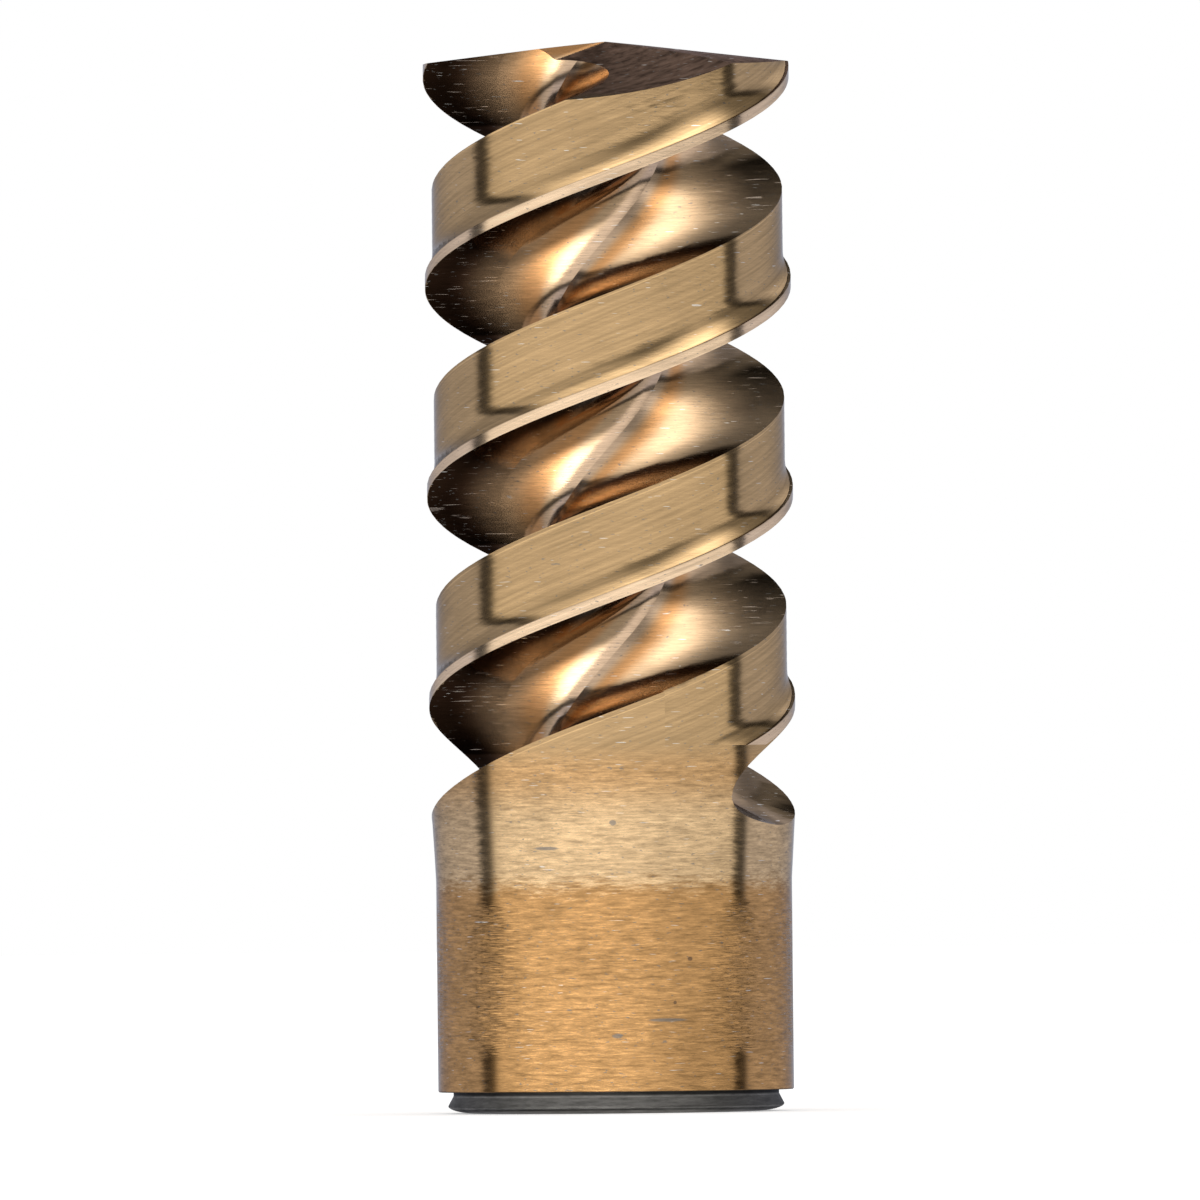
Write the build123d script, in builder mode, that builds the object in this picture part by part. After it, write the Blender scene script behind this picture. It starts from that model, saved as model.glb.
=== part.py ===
from build123d import *
from math import asin, ceil, cos, degrees, radians, sin, sqrt, tan
import os

# Twist drill bit with two right-hand flutes and a split point, one piece of hardened steel.
# Millimetres. The bit stands on its shank end: the origin is the middle of that end, +Z runs up
# the axis to the point, and +X and -X are the sides of the two lip corners.

# Overall sizes
body_diameter = 9.525
overall_length = 27.86
flute_length = 20.57
lead = 10.92

# Shank and its turned end: a narrow neck, then a lip that rounds over into the flat face
shank_diameter = 9.26
shank_taper_bottom = 6.05
shank_taper_top = 8.3
shank_edge_height = 0.56
shank_edge_break = 0.03
end_neck_inset = 0.39
end_neck_height = 0.46
end_lip_inset = 0.255
end_lip_height = 0.2
end_face_inset = 1.03

# Point: two curved flanks behind two straight lips
point_angle = 166.6
web_at_lips = 2.24
lip_relief_angle = 0.1
flank_radius = 36.5

# Split of the point: a rounded V ground into each heel, falling away from the axis
split_plan_angle = 216.7
split_fall_angle = 16.0
split_heel_tilt = -10.2
split_rake_tilt = 105.6
split_bottom_radius = 0.12

# Flute, in the section across the axis: angles are counted from the land's leading corner
flute_count = 2
flute_opening = 97.5
flute_narrowing = 4.5
heel_overshoot = 0.69
rake_hook_angle = 4.1
rake_depth = 1.93
web_turn_radius = 1.5
web_turn_angle = 46.5
web_growth = 0.1
run_out_length = 2.77
run_out_angle = 111.0
run_out_lift = 5.3

# Body clearance: the land behind each margin is ground down
clearance_depth = 0.2
clearance_length = 18.33
margin_angle = 9.4
margin_step = 0.07
ramp_angle = 22.0
clearance_end_angle = 40.0
clearance_end_sector = 90.0
clearance_end_rise = 2.5

# Helical cutters: the twist between sections, how far they stand out in body radii, and how
# far they run past the point
section_twist = 20.0
cutter_reach = 1.7
overrun = 0.6

body_radius = body_diameter / 2
clearance_radius = body_radius - clearance_depth
shank_radius = shank_diameter / 2
cut_radius = body_radius * cutter_reach
half_web = web_at_lips / 2
lip_fall = tan(radians(90 - point_angle / 2))
lip_reach = sqrt(body_radius**2 - half_web**2)
lip_rise = half_web * tan(radians(lip_relief_angle)) + half_web**2 / (2 * flank_radius)
lip_height = overall_length + lip_rise
corner_height = lip_height - lip_fall * lip_reach
corner_angle = degrees(asin(half_web / body_radius))
flute_end_height = overall_length - flute_length
clearance_end_height = overall_length - clearance_length
cut_top_height = overall_length + overrun
bar_height = overall_length + overrun / 2


def around(radius, angle):
    """The point at a radius and an angle in degrees, in the plane across the axis."""
    return (radius * cos(radians(angle)), radius * sin(radians(angle)))


def land_angle(height):
    """Where the leading corner of the first land stands at a height, in degrees."""
    return corner_angle + 360 * (height - corner_height) / lead


def heights(bottom, top):
    """Section heights from bottom to top, close enough together for the twist."""
    steps = ceil((top - bottom) * 360 / (lead * section_twist))
    return [bottom + (top - bottom) * i / steps for i in range(steps + 1)]


def section_plane(height, shift=0.0):
    """The plane across the axis at a height, with x towards the land's leading corner.

    Shift moves it sideways, along the direction that the flute runs out in.
    """
    turn = land_angle(height)
    aside = around(shift, turn + run_out_angle)
    return Plane(origin=(*aside, height), x_dir=(*around(1, turn), 0), z_dir=(0, 0, 1))


def run_out_shift(height):
    """How far the flute's section has slid out of the bar, as the wheel lifts near the shank."""
    lifted = (flute_end_height + run_out_length - height) / run_out_length
    return run_out_lift * max(lifted, 0) ** 2


# One flute: a straight rake face, a rounded web and a hollow heel wall, twisted along the lead.
# Near the shank the section slides out along the heel wall until it has left the bar.
with BuildPart() as flute:
    for height in heights(flute_end_height, cut_top_height):
        down = (overall_length - height) / flute_length
        web_radius = web_turn_radius + web_growth * down
        heel_angle = flute_opening - flute_narrowing * down
        inward = Vector(1, 0).rotate(Axis.Z, 180 - rake_hook_angle)
        corner = Vector(body_radius, 0)
        with BuildSketch(section_plane(height, run_out_shift(height))):
            with BuildLine():
                rake = Line(
                    corner - inward * (cut_radius - body_radius), corner + inward * rake_depth
                )
                web = TangentArc(rake @ 1, around(web_radius, web_turn_angle), tangent=rake % 1)
                heel = TangentArc(
                    web @ 1, around(body_radius + heel_overshoot, heel_angle), tangent=web % 1
                )
                Polyline(
                    heel @ 1,
                    around(cut_radius / cos(radians(flute_opening / 2)), flute_opening / 2),
                    rake @ 0,
                )
            make_face()
    loft()

# Body clearance of one land, from its heel up to the small step behind the margin.
# At its lower end the wheel stops with a square footprint: it spares a sector there, which
# leaves a flat end and an axial edge.
with BuildPart() as clearance:
    for height in heights(clearance_end_height, cut_top_height):
        heel_side = flute_opening - 180 - margin_angle
        with BuildSketch(section_plane(height)):
            with BuildLine():
                floor = CenterArc(
                    (0, 0), clearance_radius, heel_side, -margin_angle - ramp_angle - heel_side
                )
                ramp = TangentArc(
                    floor @ 1,
                    around(body_radius - margin_step, -margin_angle),
                    tangent=floor % 1,
                )
                Line(ramp @ 1, around(cut_radius, -margin_angle))
                CenterArc((0, 0), cut_radius, -margin_angle, heel_side + margin_angle)
                Line(around(cut_radius, heel_side), floor @ 0)
            make_face()
    loft()
    # The spared sector is a triangle whose third side stands clear of the cutter
    spared_reach = cut_radius / cos(radians(clearance_end_sector / 2)) ** 2
    with BuildSketch(section_plane(clearance_end_height)):
        with BuildLine():
            Polyline(
                (0, 0),
                around(spared_reach, -clearance_end_angle),
                around(spared_reach, -clearance_end_angle - clearance_end_sector),
                (0, 0),
            )
        make_face()
    extrude(amount=clearance_end_rise, both=True, mode=Mode.SUBTRACT)

# What one flank takes off above it: a hollow-backed wedge run along the lip's direction
lip_plane = Plane(
    origin=(0, half_web, lip_height), x_dir=(0, 1, 0), z_dir=(1, 0, -lip_fall)
)
with BuildPart() as flank_waste:
    with BuildSketch(lip_plane):
        with BuildLine():
            crest = flank_radius * sin(radians(lip_relief_angle))
            span = degrees(asin(body_diameter / flank_radius))
            flank = CenterArc((crest, -flank_radius), flank_radius, 90 - span, 2 * span)
            Polyline(
                flank @ 1,
                (-body_diameter, body_diameter),
                (body_diameter, body_diameter),
                flank @ 0,
            )
        make_face()
    extrude(amount=body_diameter, both=True)

# What one split of the point takes off: a V with a rounded bottom, run along its own fall
split_run = (
    *around(cos(radians(split_fall_angle)), split_plan_angle),
    -sin(radians(split_fall_angle)),
)
split_plane = Plane(
    origin=(0, 0, overall_length),
    x_dir=(*around(1, split_plan_angle + 90), 0),
    z_dir=split_run,
)
with BuildPart() as split_waste:
    with BuildSketch(split_plane) as split_section:
        with BuildLine():
            Polyline(
                (0, 0),
                around(body_diameter, split_heel_tilt),
                around(body_diameter * 1.5, (split_heel_tilt + split_rake_tilt) / 2),
                around(body_diameter, split_rake_tilt),
                (0, 0),
            )
        make_face()
        fillet(split_section.vertices().sort_by_distance(split_plane.origin)[0], split_bottom_radius)
    extrude(amount=body_diameter, both=True)

# The bit: a turned bar with a stepped shank end, a little longer than the bit until its point is
# ground, then each cut taken once for each flute about the axis
with BuildPart() as drill_bit:
    with BuildSketch(Plane.XZ):
        with BuildLine():
            Line((0, 0), (shank_radius - end_face_inset, 0))
            end_round = EllipticalCenterArc(
                (shank_radius - end_face_inset, end_lip_height),
                end_face_inset - end_lip_inset,
                end_lip_height,
                start_angle=-90,
                arc_size=90,
            )
            Polyline(
                end_round @ 1,
                (shank_radius - end_neck_inset, end_neck_height),
                (shank_radius - end_neck_inset, shank_edge_height),
                (shank_radius - shank_edge_break, shank_edge_height),
                (shank_radius, shank_edge_height + shank_edge_break),
                (shank_radius, shank_taper_bottom),
                (body_radius, shank_taper_top),
                (body_radius, bar_height),
                (0, bar_height),
                (0, 0),
            )
        make_face()
    revolve(axis=Axis.Z)
    with PolarLocations(0, flute_count):
        add(flute.part, mode=Mode.SUBTRACT)
        add(clearance.part, mode=Mode.SUBTRACT)
        add(flank_waste.part, mode=Mode.SUBTRACT)
        add(split_waste.part, mode=Mode.SUBTRACT)

drill_bit.part.label = "drill_bit"
os.makedirs("parts", exist_ok=True)
export_step(drill_bit.part, "parts/drill_bit.step")
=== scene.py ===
from math import pi, radians

import bpy
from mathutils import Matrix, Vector

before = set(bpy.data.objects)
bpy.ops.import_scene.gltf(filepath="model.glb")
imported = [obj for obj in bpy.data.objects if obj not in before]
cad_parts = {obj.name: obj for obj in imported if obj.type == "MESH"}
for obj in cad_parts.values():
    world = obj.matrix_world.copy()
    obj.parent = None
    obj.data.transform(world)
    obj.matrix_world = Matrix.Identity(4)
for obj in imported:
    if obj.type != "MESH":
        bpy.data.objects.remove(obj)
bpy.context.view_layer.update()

# The looks of the twist drill bit: straw-gold ground lands, with a painted shade line and a painted
# highlight line along each, and shank; polished flutes with a painted highlight colour at the web and
# painted shade that darkens them towards their edges; and a bare steel end with painted rings of
# shadow and highlight. Metres, in the CAD frame: +Z runs up the axis to the point, and the photo
# looks along +Y.

MM = 0.001

# Sizes that the masks follow, in millimetres
LENGTH = 27.86
FLUTE_LENGTH = 20.57
CLEARANCE_LENGTH = 18.33
LEAD = 10.92
BODY_RADIUS = 4.7625
MARGIN_RADIUS = 4.705
CLEARANCE_RADIUS = 4.5625
SHANK_EDGE = 0.575
CORNER_HEIGHT = 27.335
CORNER_ANGLE = radians(13.6)
FLUTE_END = LENGTH - FLUTE_LENGTH
CLEARANCE_END = LENGTH - CLEARANCE_LENGTH

# How much longer the real bit is than the photo shows it
REAL_LENGTH = 127.0
STRETCH = REAL_LENGTH / LENGTH

# Angles from a land's leading corner, in degrees: into the flute, past the heel and to the next margin
MIDDLE_OF_FLUTE = 45.0
HEEL_ANGLE = 97.9
RAMP_START = 150.0
MARGIN_START = 170.6
MARGIN_MASK_START = MARGIN_START - 1

# Where the masks fade: radii, heights, and how squarely a surface faces outwards or up
LAND_EDGE = (CLEARANCE_RADIUS - 0.02, CLEARANCE_RADIUS - 0.005)
LAND_FACING = 0.6
END_EDGE = (SHANK_EDGE - 0.01, SHANK_EDGE + 0.01)
ROUND_START = SHANK_EDGE + 0.03
POINT_START = (26.3, 26.5)
POINT_FACING = (0.80, 0.88)

# The photo's frame: how wide its view is at the axis, what its middle shows, how far it leans
PHOTO_WIDTH = 31.23 * MM
VIEW_MIDDLE = (-0.289 * MM, 0, 13.33 * MM)
LEAN = radians(0.6)

# A long lens, in millimetres
LENS = 1500.0
SENSOR = 36.0

# Colours of the metal
LAND_GOLD = (0.56, 0.37, 0.185)
SHANK_GOLD = (0.60, 0.332, 0.130)
SHANK_STRAW = (0.75, 0.515, 0.28)
FLUTE_STRAW = (0.74, 0.50, 0.29)
# The next two are painted highlight colours: orange rims beside the flute's highlight, and a pale web
# under it
ORANGE_HIGHLIGHT_RIM = (0.74, 0.38, 0.155)
WEB_HIGHLIGHT_PALE = (0.72, 0.51, 0.34)
# The next two are painted shade: the brown that darkens the corners of the flutes
RAKE_SHADE_BROWN = (0.100, 0.050, 0.028)
HEEL_SHADE_BROWN = (0.19, 0.135, 0.085)
MARGIN_PINK = (0.92, 0.67, 0.44)
BARE_STEEL = (0.115, 0.11, 0.102)
FLANK_BROWN = (0.115, 0.074, 0.055)
EDGE_TINT = (0.56, 0.57, 0.59)
SPECK_GREY = (0.20, 0.20, 0.19)
NICK_WHITE = (0.95, 0.92, 0.86)
SCRATCH_PALE = (0.62, 0.52, 0.44)

# Noises: how finely each varies along x, y and z, then its scale, detail and roughness
LEVEL_GRAIN = ((1.6, 1.6, 26.0), 1.0, 3.0, 0.65)
COARSE_GRAIN = ((1.7, 1.7, 10.0), 1.0, 5.0, 0.75)
BLOTCH_GRAIN = ((1.0, 1.0, 1.0), 0.55, 2.0, 0.5)
SPECK_GRAIN = ((3.0, 3.0, 9.0), 2.2, 1.0, 0.4)
NICK_GRAIN = ((1.1, 1.1, 16.0), 2.2, 0.0, 0.4)
SCRATCH_GRAIN = ((0.9, 0.9, 24.0), 1.3, 2.0, 0.5)
RUB_GRAIN = ((2.5, 2.5, 140.0), 1.0, 0.0, 0.5)

# The streaks along the helix: how much finer they are across, then scale, detail and roughness
HELIX_ACROSS = 4.0
HELIX_GRAIN = (1.0, 3.0, 0.6)

# Most of a noise lies this close to its middle
NOISE_MIDDLE = 0.5
NOISE_SPREAD = 0.2
BLOTCH_SPREAD = 0.15

# How dark and how light the noises make each surface
LAND_HELIX_TONES = (0.80, 1.16)
LAND_LEVEL_TONES = (0.92, 1.08)
SHANK_COARSE_TONES = (0.55, 1.34)
SHANK_LEVEL_TONES = (0.84, 1.16)
BLOTCH_TONES = (0.93, 1.06)
FLUTE_LEVEL_TONES = (0.84, 1.14)
FLANK_TONES = (0.5, 1.7)
END_TONES = (0.6, 1.5)

# Zones along the axis, each from where it starts to fade in or out to where it is done
SHANK_FADE = (FLUTE_END + 1.5, FLUTE_END + 2.5)
STRAW_FADE_IN = (5.65, 6.25)
STRAW_WANDER = 1.6
STRAW_FADE_OUT = (7.5, 8.9)
STRAW_FADE_DEPTH = 0.7
WORN_FADE_IN = (1.3, 2.1)
WORN_FADE_OUT = (4.9, 5.7)

# Painted lines along each land, by angle, half width and softness: a painted shade line at the step
# behind the margin and a painted highlight line at the heel
STEP_SHADE_LINE = (MARGIN_START, 0.7, 0.5)
STEP_SHADE_DEPTH = 0.28
HEEL_HIGHLIGHT_LINE = (HEEL_ANGLE, 0.5, 0.6)
HEEL_HIGHLIGHT_TONES = (1.0, 1.3)

# Bands of painted highlight colour around the flute, by angle, half width and softness: the pale web
# and an orange rim on each side of it
WEB_HIGHLIGHT_BAND = (44.0, 12.0, 14.0)
RAKE_HIGHLIGHT_RIM = (11.0, 7.0, 10.0)
HEEL_HIGHLIGHT_RIM = (65.0, 7.0, 12.0)

# Radii between which painted shade turns the corners of the flute brown, and the leading one black
RAKE_SHADE_RADII = (2.3, 4.0)
HEEL_SHADE_RADII = (1.9, 4.0)
RAKE_BLACK_SHADE = (3.3, 4.3)
RAKE_BLACK_SHADE_DEPTH = 0.80

# Painted rings on the steel end, a painted shadow at its groove and painted highlights on two edges:
# height, half width, and how bright each is
PAINTED_END_RINGS = [(0.525, 0.045, 0.25), (0.14, 0.02, 2.2), (0.44, 0.01, 1.8)]
RING_SOFTNESS = 0.03

# The noise above which a speck, nick or scratch shows, and how strongly
SPECK_LEVEL = (0.71, 0.74)
NICK_LEVEL = (0.80, 0.84)
DIRT_STRENGTH = 0.6
SCRATCH_LEVEL = (0.66, 0.72)
SCRATCH_STRENGTH = 0.5

# The radii between which the scratches set in
SCRATCH_RADIUS = (2.6, 3.4)

# Finish: roughnesses, then how far the gloss leans and waves, as slopes, and the bump's metres
LAND_ROUGHNESS = 0.07
FLUTE_ROUGHNESS = 0.075
END_ROUGHNESS = 0.3
WORN_ROUGHNESS = 0.01
SCRATCH_ROUGHNESS = 0.25
COARSE_ROUGHNESS = 0.02
RAMP_LEAN = 0.2
WAVINESS = 0.06
WORN_WAVINESS = 0.8
BUMP_HEIGHT = 2.5e-7

# Single marks on the front: place and half size across and up in millimetres, and colour
MARKS = [
    (0.05, 2.02, 0.16, 0.07, SPECK_GREY),
    (1.35, 2.42, 0.55, 0.05, SPECK_GREY),
    (-0.02, 7.55, 0.10, 0.08, SPECK_GREY),
    (-1.75, 6.9, 0.35, 0.05, SPECK_GREY),
    (3.35, 8.2, 0.30, 0.03, NICK_WHITE),
    (-3.45, 5.0, 0.20, 0.02, NICK_WHITE),
    (1.95, 4.0, 0.07, 0.06, FLANK_BROWN),
    (1.55, 2.87, 0.05, 0.05, FLANK_BROWN),
]

# How ragged the marks are, where they fade, and how strongly they show
MARK_RAGGEDNESS = 4.0
MARK_EDGE = (0.7, 1.1)
MARK_STRENGTH = 0.7

# The studio, in degrees. A pair says where a light starts to fade in or out and where it is done.
# The upper light's height is measured from its arch, whose top is at a bearing and a rise.
UPPER_STRENGTH = 2.9
UPPER_TOP = (-26.0, 35.5)
UPPER_BEND = 0.0024
UPPER_FROM_BELOW = (-22, -4)
UPPER_TO_ABOVE = (-8, 3)
UPPER_FROM_LEFT = (-97, -26)
UPPER_TO_RIGHT = (22, 74)

# The lower light's under side slopes down to the right, and its height is given at a pivot's bearing
LOWER_STRENGTH = 3.0
LOWER_SLOPE = 0.2
LOWER_PIVOT = -70.0
LOWER_FROM_BELOW = (-11.5, -4.0)
LOWER_TO_ABOVE = (-6, 6)
LOWER_DROP = (-16, 36)
LOWER_TRACE = 0.04
LOWER_FROM_LEFT = (-92, -58)
LOWER_TO_RIGHT = (38, 120)

# The dim room between and around the two lights
BETWEEN_STRENGTH = 0.68
BETWEEN_FROM_BELOW = (-34, 4)
BETWEEN_TO_ABOVE = (4, 26)
BETWEEN_DROP = (-30, 12)
BETWEEN_DROP_DEPTH = 0.62
BETWEEN_FROM_LEFT = (-106, -76)

# The level belt narrows to the right, and dims at both sides: two bearings, then its half heights there
BELT_NARROWS = (5, 45, 4.2, 2.6)
BELT_SOFTNESS = 1.0
BELT_DIMS_RIGHT = (30, 80)
BELT_DIMS_LEFT = (-25, -80)
BELT_DIMMING = 0.12

# The back: its belt by rise, half height and softness, the rest of it, and a patch at the right
BACK_FROM = (86, 92)
BACK_BELT = (0.0, 5.0, 4.0)
BACK_BELT_LEVEL = 0.60
BACK_RISE = (2, 14)
BACK_BELOW = 0.40
BACK_ABOVE = 0.45
BACK_BLUE = (0.96, 1.0, 1.16)
RIGHT_PATCH_BEARING = (95, 112)
RIGHT_PATCH_FROM = (4, 12)
RIGHT_PATCH_TO = (45, 65)
RIGHT_PATCH_STRENGTH = 0.4

# A patch high at the right, and on round the back from there
CORNER_BEARING = (64, 82)
CORNER_FROM = (32, 40)
CORNER_TO = (55, 75)
CORNER_STRENGTH = 0.6

# Steep directions, which the photo's level view never shows: how bright, and how many waves around
STEEP_BELOW = (-50, -43)
STEEP_ABOVE = (52, 62)
STEEP_WAVES = 3
STEEP_DIM = 0.65
STEEP_BRIGHT = 1.25

# The dark slits at the sides: bearing, half width and softness, and how far up and down they reach
LEFT_SLIT = (-90.5, 6.5, 7.0)
RIGHT_SLIT = (89.0, 5.5, 5.0)
SLIT_REACH = (0.0, 16.0, 10.0)
SLIT_DEPTH = 0.9

# The floor: half its side in metres, its colour, and the light that lifts it
FLOOR_HALF = 0.6
FLOOR_GREY = (0.8, 0.8, 0.8, 1)
FLOOR_LIFT = 0.35


class Shader:
    """Builds a node tree with short calls, each of which returns an output socket."""

    def __init__(self, tree):
        self.nodes = tree.nodes
        self.links = tree.links
        self.nodes.clear()

    def put(self, socket, value):
        """Links a socket, or sets a constant."""
        if isinstance(value, bpy.types.NodeSocket):
            self.links.new(value, socket)
        elif value is not None:
            socket.default_value = value

    def node(self, kind, **settings):
        made = self.nodes.new(kind)
        for name, value in settings.items():
            setattr(made, name, value)
        return made

    def math(self, operation, a, b=None):
        made = self.node("ShaderNodeMath", operation=operation)
        for socket, value in zip(made.inputs, (a, b)):
            self.put(socket, value)
        return made.outputs[0]

    def add(self, a, b):
        return self.math("ADD", a, b)

    def minus(self, a, b):
        return self.math("SUBTRACT", a, b)

    def times(self, *factors):
        product = factors[0]
        for factor in factors[1:]:
            product = self.math("MULTIPLY", product, factor)
        return product

    def over(self, a, b):
        return self.math("DIVIDE", a, b)

    def larger(self, a, b):
        return self.math("MAXIMUM", a, b)

    def above(self, value, limit):
        return self.math("GREATER_THAN", value, limit)

    def below(self, value, limit):
        return self.math("LESS_THAN", value, limit)

    def inverse(self, a):
        return self.minus(1.0, a)

    def vector(self, operation, a, b=None):
        made = self.node("ShaderNodeVectorMath", operation=operation)
        self.put(made.inputs[0], a)
        self.put(made.inputs[1], b)
        return made.outputs["Value" if operation in ("DOT_PRODUCT", "LENGTH") else "Vector"]

    def combine(self, x, y, z):
        made = self.node("ShaderNodeCombineXYZ")
        for socket, value in zip(made.inputs, (x, y, z)):
            self.put(socket, value)
        return made.outputs[0]

    def separate(self, vector):
        made = self.node("ShaderNodeSeparateXYZ")
        self.put(made.inputs[0], vector)
        return made.outputs

    def scaled(self, vector, value):
        """The vector times a number."""
        return self.vector("MULTIPLY", vector, self.combine(value, value, value))

    def step(self, value, low, high):
        """0 below low, 1 above high, and a smooth ramp between."""
        made = self.node("ShaderNodeMapRange", clamp=True, interpolation_type="SMOOTHSTEP")
        self.put(made.inputs["Value"], value)
        made.inputs["From Min"].default_value = low
        made.inputs["From Max"].default_value = high
        return made.outputs["Result"]

    def fade(self, value, low, high):
        """1 below low, 0 above high, and a smooth ramp between."""
        return self.inverse(self.step(value, low, high))

    def range(self, value, low, high, to_low, to_high):
        made = self.node("ShaderNodeMapRange", clamp=True)
        self.put(made.inputs["Value"], value)
        made.inputs["From Min"].default_value = low
        made.inputs["From Max"].default_value = high
        made.inputs["To Min"].default_value = to_low
        made.inputs["To Max"].default_value = to_high
        return made.outputs["Result"]

    def band(self, value, middle, half, soft):
        """1 within half of the middle, and 0 outside, with soft sides."""
        away = self.math("ABSOLUTE", self.minus(value, middle))
        return self.fade(away, half - soft / 2, half + soft / 2)

    def mix(self, share, a, b, blend="MIX"):
        made = self.node("ShaderNodeMix", data_type="RGBA", blend_type=blend)
        self.put(made.inputs["Factor"], share)
        self.put(made.inputs["A"], a if isinstance(a, bpy.types.NodeSocket) else (*a, 1))
        self.put(made.inputs["B"], b if isinstance(b, bpy.types.NodeSocket) else (*b, 1))
        return made.outputs["Result"]

    def mix_value(self, share, a, b):
        made = self.node("ShaderNodeMix", data_type="FLOAT")
        self.put(made.inputs["Factor"], share)
        self.put(made.inputs["A"], a)
        self.put(made.inputs["B"], b)
        return made.outputs["Result"]

    def noise(self, where, scale, detail, roughness):
        made = self.node("ShaderNodeTexNoise")
        self.put(made.inputs["Vector"], where)
        made.inputs["Scale"].default_value = scale
        made.inputs["Detail"].default_value = detail
        made.inputs["Roughness"].default_value = roughness
        return made.outputs["Fac"]

    def shade(self, colour, value):
        """The colour times a grey value."""
        return self.mix(1.0, colour, self.combine(value, value, value), blend="MULTIPLY")

    def follow(self, noise, lowest, highest, spread=NOISE_SPREAD):
        """A value that rises from the lowest to the highest as the noise does."""
        return self.range(noise, NOISE_MIDDLE - spread, NOISE_MIDDLE + spread, lowest, highest)

    def vary(self, colour, noise, darkest, lightest, spread=NOISE_SPREAD):
        """The colour, made darker and lighter by the noise."""
        return self.shade(colour, self.follow(noise, darkest, lightest, spread))

    def wave(self, noise, height):
        """The noise as a wave about zero."""
        return self.times(self.minus(noise, NOISE_MIDDLE), height)


class Surface:
    """A point of the bit, in millimetres: where it lies, which zones it is in, and its noises."""

    def __init__(self, s):
        self.shader = s
        place = s.node("ShaderNodeTexCoord").outputs["Object"]
        self.mm = s.vector("MULTIPLY", place, (1 / MM, 1 / MM, 1 / MM))
        self.x, self.y, self.z = s.separate(self.mm)
        level_place = s.combine(self.x, self.y, 0.0)
        self.radius = s.vector("LENGTH", level_place)
        self.normal = s.node("ShaderNodeNewGeometry").outputs["Normal"]
        angle = s.math("ARCTAN2", self.y, self.x)

        # The angle from a land's leading corner into the flute behind it, up to half a turn
        climb = s.times(s.minus(self.z, CORNER_HEIGHT), 2 * pi / LEAD)
        wall = s.math("FLOORED_MODULO", s.minus(s.minus(angle, CORNER_ANGLE), climb), pi)
        self.wall = s.times(wall, 180 / pi)

        # Lands and shank lie on the outside and face outwards, which the edges of the flutes don't
        outward = s.over(s.vector("DOT_PRODUCT", self.normal, level_place), self.radius)
        self.land = s.times(s.step(self.radius, *LAND_EDGE), s.above(outward, LAND_FACING))
        self.cleared = s.above(self.z, CLEARANCE_END)
        on_margin = s.times(s.above(self.wall, MARGIN_MASK_START), s.above(self.radius, MARGIN_RADIUS))
        self.margin = s.times(on_margin, self.cleared)
        self.shank = s.fade(self.z, *SHANK_FADE)
        self.end = s.fade(self.z, *END_EDGE)
        upright = s.separate(self.normal)[2]
        self.point = s.times(s.step(upright, *POINT_FACING), s.step(self.z, *POINT_START))
        # The chuck has rubbed the middle of the shank
        self.worn = s.times(s.step(self.z, *WORN_FADE_IN), s.fade(self.z, *WORN_FADE_OUT))

        # Level streaks from turning, and streaks that follow the helix
        self.coarse = self.grain(*COARSE_GRAIN)
        self.level_streaks = self.grain(*LEVEL_GRAIN)
        twist = s.minus(angle, s.times(self.z, 2 * pi / LEAD))
        across = s.times(self.radius, HELIX_ACROSS)
        helix_x = s.times(s.math("COSINE", twist), across)
        helix_y = s.times(s.math("SINE", twist), across)
        helix_place = s.combine(helix_x, helix_y, self.z)
        self.helix_streaks = s.noise(helix_place, *HELIX_GRAIN)

        # Chips have scratched the outer parts of the flutes
        scratches = s.step(self.grain(*SCRATCH_GRAIN), *SCRATCH_LEVEL)
        scratches = s.times(scratches, s.step(self.radius, *SCRATCH_RADIUS))
        self.scratches = s.times(scratches, s.inverse(s.larger(self.land, self.point)))

    def grain(self, fineness, scale, detail, roughness):
        """A noise that varies at its own rate along each axis."""
        place = self.shader.vector("MULTIPLY", self.mm, fineness)
        return self.shader.noise(place, scale, detail, roughness)


def land_colour(s, here):
    """Gold of the lands, pink of the margins, a painted shade line behind them and a painted highlight
    line at the heel.
    """
    colour = s.mix(here.margin, LAND_GOLD, MARGIN_PINK)
    colour = s.vary(colour, here.helix_streaks, *LAND_HELIX_TONES)
    colour = s.vary(colour, here.level_streaks, *LAND_LEVEL_TONES)
    # Painted shade at the step behind the margin, then a painted highlight along the heel
    step_shade = s.times(s.band(here.wall, *STEP_SHADE_LINE), here.cleared)
    colour = s.shade(colour, s.inverse(s.times(step_shade, STEP_SHADE_DEPTH)))
    return s.shade(colour, s.range(s.band(here.wall, *HEEL_HIGHLIGHT_LINE), 0, 1, *HEEL_HIGHLIGHT_TONES))


def shank_colour(s, here):
    """A straw zone over an orange one."""
    ragged_height = s.add(here.z, s.wave(here.coarse, STRAW_WANDER))
    straw = s.step(ragged_height, *STRAW_FADE_IN)
    straw = s.times(straw, s.inverse(s.times(s.step(here.z, *STRAW_FADE_OUT), STRAW_FADE_DEPTH)))
    colour = s.mix(straw, SHANK_GOLD, SHANK_STRAW)
    colour = s.vary(colour, here.coarse, *SHANK_COARSE_TONES)
    return s.vary(colour, here.level_streaks, *SHANK_LEVEL_TONES)


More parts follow.
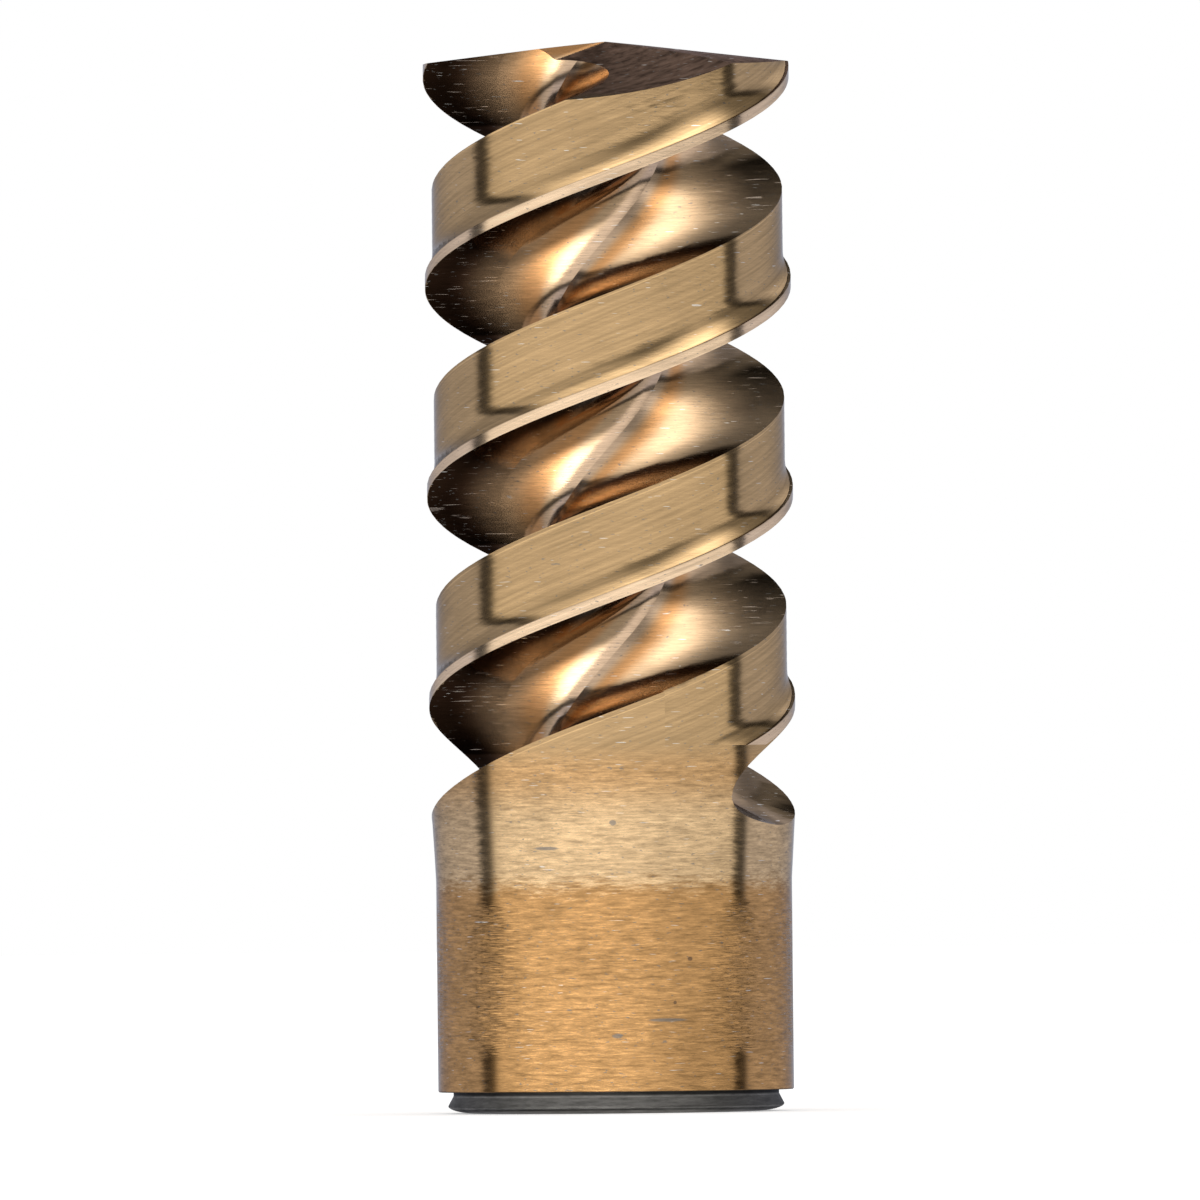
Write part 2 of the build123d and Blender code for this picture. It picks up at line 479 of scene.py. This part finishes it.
def flute_colour(s, here):
    """Straw, with painted highlight colour (a pale web and an orange band on each side of it) and painted
    shade (brown at both corners, black at the leading one).
    """
    colour = s.mix(s.band(here.wall, *WEB_HIGHLIGHT_BAND), FLUTE_STRAW, WEB_HIGHLIGHT_PALE)
    highlight_rims = s.larger(s.band(here.wall, *RAKE_HIGHLIGHT_RIM), s.band(here.wall, *HEEL_HIGHLIGHT_RIM))
    colour = s.mix(highlight_rims, colour, ORANGE_HIGHLIGHT_RIM)
    heel_side = s.above(here.wall, MIDDLE_OF_FLUTE)
    rake_side = s.inverse(heel_side)
    colour = s.mix(s.times(s.step(here.radius, *RAKE_SHADE_RADII), rake_side), colour, RAKE_SHADE_BROWN)
    colour = s.mix(s.times(s.step(here.radius, *HEEL_SHADE_RADII), heel_side), colour, HEEL_SHADE_BROWN)
    colour = s.vary(colour, here.level_streaks, *FLUTE_LEVEL_TONES)
    black_shade = s.times(s.step(here.radius, *RAKE_BLACK_SHADE), rake_side)
    return s.shade(colour, s.inverse(s.times(black_shade, RAKE_BLACK_SHADE_DEPTH)))


def with_dirt(s, here, colour):
    """The colour with specks of dirt, small bright nicks, the single marks, and scratches."""
    specks = s.step(here.grain(*SPECK_GRAIN), *SPECK_LEVEL)
    colour = s.mix(s.times(specks, DIRT_STRENGTH), colour, SPECK_GREY)
    nicks = s.step(here.grain(*NICK_GRAIN), *NICK_LEVEL)
    colour = s.mix(s.times(nicks, DIRT_STRENGTH), colour, NICK_WHITE)
    front = s.times(s.below(here.y, 0.0), MARK_STRENGTH)
    ragged = s.wave(here.coarse, MARK_RAGGEDNESS)
    for mark_x, mark_z, half_x, half_z, tone in MARKS:
        away_x = s.times(s.minus(here.x, mark_x), 1 / half_x)
        away_z = s.times(s.minus(here.z, mark_z), 1 / half_z)
        away = s.vector("LENGTH", s.combine(away_x, away_z, ragged))
        colour = s.mix(s.times(s.fade(away, *MARK_EDGE), front), colour, tone)
    return s.mix(s.times(here.scratches, SCRATCH_STRENGTH), colour, SCRATCH_PALE)


def end_colour(s, here):
    """Bare steel, with a painted shadow ring at its groove and painted highlight rings on two edges."""
    colour = s.vary(BARE_STEEL, here.coarse, *END_TONES)
    for height, half, brightness in PAINTED_END_RINGS:
        painted_ring = s.band(here.z, height, half, RING_SOFTNESS)
        colour = s.shade(colour, s.range(painted_ring, 0, 1, 1.0, brightness))
    return colour


def bit_colour(s, here):
    """The whole bit's colour, zone by zone."""
    gold = s.mix(here.shank, land_colour(s, here), shank_colour(s, here))
    gold = s.vary(gold, here.grain(*BLOTCH_GRAIN), *BLOTCH_TONES, BLOTCH_SPREAD)
    colour = s.mix(here.land, flute_colour(s, here), gold)
    # The ground faces of the point are dark, with fine scratches
    colour = s.mix(here.point, colour, s.vary(FLANK_BROWN, here.helix_streaks, *FLANK_TONES))
    return s.mix(here.end, with_dirt(s, here, colour), end_colour(s, here))


def bit_roughness(s, here):
    """Duller where the bit is rubbed or scratched, and dull at the point and the steel end."""
    rough = s.mix_value(here.land, FLUTE_ROUGHNESS, LAND_ROUGHNESS)
    rough = s.add(rough, s.times(here.worn, WORN_ROUGHNESS))
    rough = s.add(rough, s.times(here.scratches, SCRATCH_ROUGHNESS))
    rough = s.add(rough, s.follow(here.coarse, 0.0, COARSE_ROUGHNESS))
    return s.mix_value(s.larger(here.point, here.end), rough, END_ROUGHNESS)


def long_bit_normal(s, here):
    """The photo squashes the bit along its axis, so the gloss follows the surfaces of the long bit."""
    normal = s.vector("MULTIPLY", here.normal, (1.0, 1.0, 1 / STRETCH**2))

    # Shank and margins are round. The step up from the shank is too slight to show in the gloss.
    on_shank = s.times(s.above(here.z, ROUND_START), s.below(here.z, CLEARANCE_END))
    round_side = s.times(s.larger(on_shank, here.margin), here.land)
    out_x = s.over(here.x, here.radius)
    out_y = s.over(here.y, here.radius)
    radial = s.combine(out_x, out_y, 0.0)
    normal = s.vector("ADD", s.scaled(normal, s.inverse(round_side)), s.scaled(radial, round_side))

    # The clearance rises more steeply where it meets the margin
    ramp = s.times(s.step(here.wall, RAMP_START, MARGIN_START), s.below(here.wall, MARGIN_START))
    ramp = s.times(ramp, here.land, s.below(here.radius, MARGIN_RADIUS), here.cleared)
    back_x = s.times(out_x, -1.0)
    helix_rise = 2 * pi * BODY_RADIUS / LEAD / STRETCH**2
    backwards = s.combine(out_y, back_x, helix_rise)
    normal = s.vector("ADD", normal, s.scaled(backwards, s.times(ramp, RAMP_LEAN)))

    # Turning, grinding and rubbing leave the surface slightly wavy
    wavy = s.wave(here.coarse, WAVINESS)
    rubbed = s.times(s.wave(here.grain(*RUB_GRAIN), WORN_WAVINESS), here.worn)
    sideways = s.combine(out_y, back_x, 0.0)
    normal = s.vector("ADD", normal, s.scaled(sideways, s.add(wavy, rubbed)))
    return s.vector("NORMALIZE", normal)


def drill_material():
    """Gold-tinted ground steel, whose finish changes with the place on the bit."""
    material = bpy.data.materials.new("temper_gold_steel")
    material.use_nodes = True
    s = Shader(material.node_tree)
    here = Surface(s)
    bump = s.node("ShaderNodeBump")
    bump.inputs["Strength"].default_value = 1.0
    bump.inputs["Distance"].default_value = BUMP_HEIGHT
    s.put(bump.inputs["Height"], here.coarse)
    s.put(bump.inputs["Normal"], long_bit_normal(s, here))

    metal = s.node("ShaderNodeBsdfPrincipled")
    s.put(metal.inputs["Base Color"], bit_colour(s, here))
    s.put(metal.inputs["Roughness"], bit_roughness(s, here))
    s.put(metal.inputs["Normal"], bump.outputs["Normal"])
    tangent = s.node("ShaderNodeTangent", direction_type="RADIAL", axis="Z").outputs[0]
    s.put(metal.inputs["Tangent"], tangent)
    metal.inputs["Metallic"].default_value = 1.0
    metal.inputs["Specular Tint"].default_value = (*EDGE_TINT, 1)
    metal.inputs["Anisotropic"].default_value = 1.0
    metal.inputs["Anisotropic Rotation"].default_value = 0.0
    output = s.node("ShaderNodeOutputMaterial")
    s.put(output.inputs["Surface"], metal.outputs[0])
    return material


def upper_light(s, bearing, over):
    """Arched, and fading at both sides."""
    light = s.times(s.step(over, *UPPER_FROM_BELOW), s.fade(over, *UPPER_TO_ABOVE))
    return s.times(light, s.step(bearing, *UPPER_FROM_LEFT), s.fade(bearing, *UPPER_TO_RIGHT))


def lower_light(s, bearing, rise, under):
    """Its under side slopes down to the right, where only a trace of it is left."""
    light = s.times(s.step(under, *LOWER_FROM_BELOW), s.fade(rise, *LOWER_TO_ABOVE))
    drop = s.add(s.times(s.fade(bearing, *LOWER_DROP), 1 - LOWER_TRACE), LOWER_TRACE)
    return s.times(light, drop, s.step(bearing, *LOWER_FROM_LEFT), s.fade(bearing, *LOWER_TO_RIGHT))


def between_lights(s, bearing, under, over):
    """The dim room between and around the two lights."""
    light = s.times(s.step(under, *BETWEEN_FROM_BELOW), s.fade(over, *BETWEEN_TO_ABOVE), BETWEEN_STRENGTH)
    drop = s.inverse(s.times(s.step(bearing, *BETWEEN_DROP), BETWEEN_DROP_DEPTH))
    return s.times(light, drop, s.step(bearing, *BETWEEN_FROM_LEFT))


def belt(s, bearing, rise):
    """How far a direction is in the level belt, and how bright the belt is there."""
    outside = s.minus(s.math("ABSOLUTE", rise), s.range(bearing, *BELT_NARROWS))
    inside = s.fade(outside, -BELT_SOFTNESS, BELT_SOFTNESS)
    right = s.inverse(s.times(s.step(bearing, *BELT_DIMS_RIGHT), BELT_DIMMING))
    left = s.inverse(s.times(s.step(bearing, *BELT_DIMS_LEFT), BELT_DIMMING))
    return inside, s.times(right, left)


def back_light(s, bearing, rise):
    """A dim room with its own belt, and a brighter patch at the right."""
    room = s.mix_value(s.step(rise, *BACK_RISE), BACK_BELOW, BACK_ABOVE)
    light = s.mix_value(s.band(rise, *BACK_BELT), room, BACK_BELT_LEVEL)
    height = s.times(s.step(rise, *RIGHT_PATCH_FROM), s.fade(rise, *RIGHT_PATCH_TO))
    patch = s.times(s.step(bearing, *RIGHT_PATCH_BEARING), height)
    return s.add(light, s.times(patch, RIGHT_PATCH_STRENGTH))


def studio():
    """White for the camera. The metal sees two long lights in front, one over and one under a level belt,
    a dimmer back, and a dark slit at each side. Bearing 0 is the photo's camera and 90 the right of its
    picture. Bearings and rises are in degrees, for the bit at its real length.
    """
    world = bpy.data.worlds.new("studio")
    bpy.context.scene.world = world
    world.use_nodes = True
    s = Shader(world.node_tree)
    way = s.node("ShaderNodeTexCoord").outputs["Generated"]
    way = s.vector("NORMALIZE", s.vector("MULTIPLY", way, (1, 1, STRETCH)))
    x, y, z = s.separate(way)
    bearing = s.times(s.math("ARCTAN2", x, s.times(y, -1.0)), 180 / pi)
    rise = s.times(s.math("ARCSINE", z), 180 / pi)

    middle_bearing, middle_rise = UPPER_TOP
    aside = s.math("ABSOLUTE", s.minus(bearing, middle_bearing))
    arch = s.times(s.math("POWER", aside, 2.0), -UPPER_BEND)
    over = s.minus(rise, s.add(arch, middle_rise))
    under = s.add(rise, s.times(s.minus(bearing, LOWER_PIVOT), LOWER_SLOPE))
    upper = s.times(upper_light(s, bearing, over), UPPER_STRENGTH)
    lower = s.times(lower_light(s, bearing, rise, under), LOWER_STRENGTH)
    level = s.add(between_lights(s, bearing, under, over), s.add(upper, lower))
    in_belt, belt_level = belt(s, bearing, rise)
    level = s.mix_value(in_belt, level, belt_level)
    behind = s.step(s.math("ABSOLUTE", bearing), *BACK_FROM)
    level = s.mix_value(behind, level, back_light(s, bearing, rise))
    corner_rise = s.times(s.step(rise, *CORNER_FROM), s.fade(rise, *CORNER_TO))
    corner = s.times(s.step(bearing, *CORNER_BEARING), corner_rise)
    level = s.add(level, s.times(corner, CORNER_STRENGTH))

    # Steep directions are evenly lit, with soft changes
    steep = s.larger(s.fade(rise, *STEEP_BELOW), s.step(rise, *STEEP_ABOVE))
    swing = s.math("SINE", s.times(bearing, STEEP_WAVES * pi / 180))
    level = s.mix_value(steep, level, s.range(swing, -1, 1, STEEP_DIM, STEEP_BRIGHT))
    slit = s.larger(s.band(bearing, *LEFT_SLIT), s.band(bearing, *RIGHT_SLIT))
    slit = s.times(slit, s.band(rise, *SLIT_REACH))
    level = s.times(level, s.inverse(s.times(slit, SLIT_DEPTH)))

    glossy = s.node("ShaderNodeLightPath").outputs["Is Glossy Ray"]
    level = s.mix_value(glossy, 1.0, level)
    tint = s.mix(s.times(behind, glossy), (1.0, 1.0, 1.0), BACK_BLUE)
    background = s.node("ShaderNodeBackground")
    s.put(background.inputs["Color"], s.shade(tint, level))
    output = s.node("ShaderNodeOutputWorld")
    s.put(output.inputs["Surface"], background.outputs[0])


def floor_material():
    """Pale, and clear for the metal, which looks through it to the lower half of the studio."""
    material = bpy.data.materials.new("pale_floor")
    material.use_nodes = True
    s = Shader(material.node_tree)
    diffuse = s.node("ShaderNodeBsdfDiffuse")
    diffuse.inputs["Color"].default_value = FLOOR_GREY
    lift = s.node("ShaderNodeEmission")
    lift.inputs["Strength"].default_value = FLOOR_LIFT
    lit = s.node("ShaderNodeAddShader")
    s.put(lit.inputs[0], diffuse.outputs[0])
    s.put(lit.inputs[1], lift.outputs[0])
    choice = s.node("ShaderNodeMixShader")
    s.put(choice.inputs[0], s.node("ShaderNodeLightPath").outputs["Is Glossy Ray"])
    s.put(choice.inputs[1], lit.outputs[0])
    s.put(choice.inputs[2], s.node("ShaderNodeBsdfTransparent").outputs[0])
    output = s.node("ShaderNodeOutputMaterial")
    s.put(output.inputs["Surface"], choice.outputs[0])
    return material


def floor():
    """A large square under the bit."""
    half = FLOOR_HALF
    corners = [(-half, -half, 0), (half, -half, 0), (half, half, 0), (-half, half, 0)]
    mesh = bpy.data.meshes.new("floor")
    mesh.from_pydata(corners, [], [(0, 1, 2, 3)])
    mesh.materials.append(floor_material())
    plane = bpy.data.objects.new("floor", mesh)
    bpy.context.scene.collection.objects.link(plane)


def camera():
    """Level with the bit, straight on, far away, and rolled so that the bit leans as in the photo."""
    data = bpy.data.cameras.new("camera")
    data.lens = LENS
    data.sensor_width = SENSOR
    distance = PHOTO_WIDTH * LENS / SENSOR
    data.clip_start = distance / 10
    data.clip_end = distance * 10
    eye = bpy.data.objects.new("camera", data)
    eye.location = Vector(VIEW_MIDDLE) - Vector((0, distance, 0))
    eye.rotation_euler = (pi / 2, LEAN, 0)
    bpy.context.scene.collection.objects.link(eye)
    bpy.context.scene.camera = eye


bpy.context.scene.view_settings.view_transform = "Standard"
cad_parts["drill_bit"].material_slots[0].material = drill_material()
studio()
floor()
camera()
